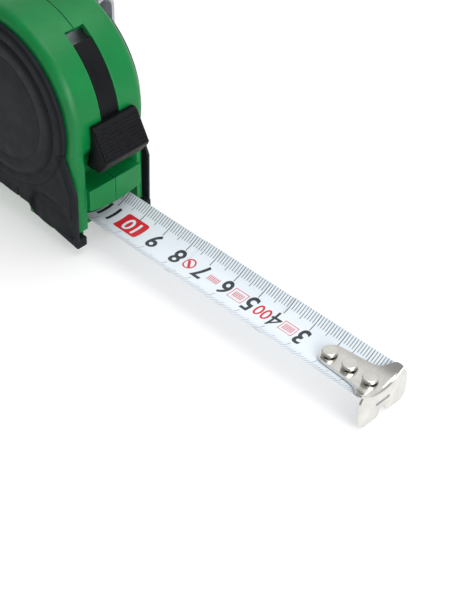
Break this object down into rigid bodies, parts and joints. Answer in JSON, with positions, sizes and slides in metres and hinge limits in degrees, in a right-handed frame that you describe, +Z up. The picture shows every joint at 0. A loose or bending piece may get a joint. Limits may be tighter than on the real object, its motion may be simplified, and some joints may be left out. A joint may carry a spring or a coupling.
{
  "type": "tape measure",
  "caption": "Pocket tape measure: moulded case with rubber side guards, thumb lock and belt clip, curved steel blade drawn out, sliding riveted end hook.",
  "frame": {"origin": "middle of the base of the whole object, blade drawn out", "axes": "+X along the blade towards the hook, +Y towards the belt clip, +Z up"},
  "size_m": [0.1704, 0.0428, 0.0727],
  "materials": {
    "green_plastic": "moulded, satin",
    "armour_rubber": "moulded, matt",
    "black_plastic": "moulded, fine grain",
    "soft_rubber": "moulded",
    "blade_white": "lacquered and printed",
    "hook_nickel": "nickel plated",
    "clip_steel": "plated",
    "screw_steel": "black zinc",
    "spring_steel": "tempered",
    "spool_nylon": "moulded"
  },
  "bodies": {
    "case": {"case_left": "green_plastic", "case_right": "green_plastic", "armour_left": "armour_rubber", "armour_right": "armour_rubber", "label_disc_left": "armour_rubber", "label_disc_right": "armour_rubber", "centre_post": "spool_nylon", "mouth_bumper": "soft_rubber", "blade_lead": "blade_white", "belt_clip_plate": "clip_steel", "belt_clip_screw": "screw_steel", "case_screw_1": "screw_steel", "case_screw_2": "screw_steel", "case_screw_3": "screw_steel", "case_screw_4": "screw_steel"},
    "blade_front": {"blade_tip": "blade_white", "rivet_1": "hook_nickel", "rivet_2": "hook_nickel", "rivet_3": "hook_nickel"},
    "blade_middle": {"blade_mid": "blade_white"},
    "blade_back": {"blade_rear": "blade_white"},
    "end_hook": {"hook": "hook_nickel"},
    "spool": {"drum": "spool_nylon", "drum_cover": "spool_nylon", "wound_blade": "blade_white", "mainspring": "spring_steel"},
    "lock": {"thumb_lock": "black_plastic", "lock_strip": "black_plastic", "lock_brake": "soft_rubber"},
    "clip_spring": {"belt_clip_arm": "clip_steel"}
  },
  "joints": [
    {"name": "blade_slide", "type": "slide", "parent": "case", "child": "blade_front", "axis": [1, 0, 0], "range_m": [-0.107, 0]},
    {"name": "blade_middle_slide", "type": "slide", "parent": "case", "child": "blade_middle", "axis": [1, 0, 0], "range_m": [-0.0715, 0]},
    {"name": "blade_back_slide", "type": "slide", "parent": "case", "child": "blade_back", "axis": [1, 0, 0], "range_m": [-0.0358, 0]},
    {"name": "spool_spin", "type": "hinge", "parent": "case", "child": "spool", "pos_m": [-0.05415, -0.00495, 0.0417], "axis": [0, 1, 0], "range_deg": [0, 262]},
    {"name": "hook_play", "type": "slide", "parent": "blade_front", "child": "end_hook", "axis": [1, 0, 0], "range_m": [-0.0008, 0]},
    {"name": "lock_slide", "type": "hinge", "parent": "case", "child": "lock", "pos_m": [-0.05415, -0.00495, 0.0417], "axis": [0, -1, 0], "range_deg": [0, 6.5]},
    {"name": "clip_flex", "type": "hinge", "parent": "case", "child": "clip_spring", "pos_m": [-0.05415, 0.01235, 0.0607], "axis": [1, 0, 0], "range_deg": [0, 7], "stiffness_Nm_per_rad": 0.5}
  ],
  "couplings": [
    {"joint": "blade_middle_slide", "follows": "blade_slide", "ratio": 0.66667},
    {"joint": "blade_back_slide", "follows": "blade_slide", "ratio": 0.33333},
    {"joint": "spool_spin", "follows": "blade_slide", "rad_per_m": -42.553}
  ]
}
